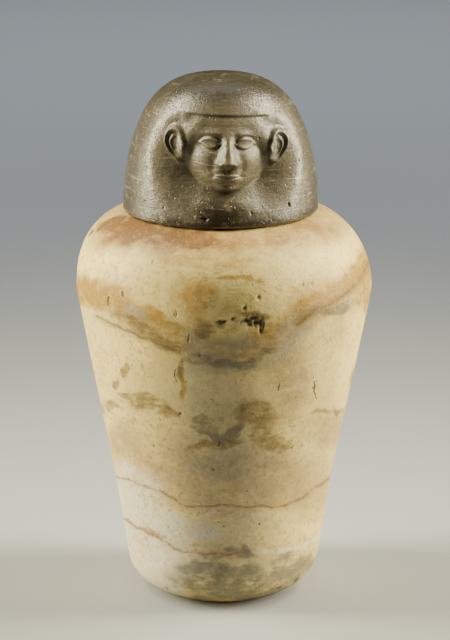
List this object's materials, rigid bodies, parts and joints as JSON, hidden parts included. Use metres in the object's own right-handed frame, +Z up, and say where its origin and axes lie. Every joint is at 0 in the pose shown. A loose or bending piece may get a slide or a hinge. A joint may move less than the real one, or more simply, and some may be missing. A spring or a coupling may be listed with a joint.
{
  "type": "canopic jar",
  "caption": "Tall shouldered stone jar, hollow inside, with a loose domed lid carved as a human head in a plain wig.",
  "frame": {"origin": "middle of the jar's underside, on the surface it stands on", "axes": "+Z up along the jar's axis, -Y towards the front that the carved face looks to, +X to the right as seen from the front"},
  "size_m": [0.1926, 0.1926, 0.345],
  "materials": {
    "jar_stone": "smoothed banded cream and tan alabaster, worn, stained and pitted",
    "lid_stone": "polished grey-brown stone with fine pits and scratches"
  },
  "bodies": {
    "root": {"jar_body": "jar_stone", "head_lid": "lid_stone"}
  },
  "joints": []
}
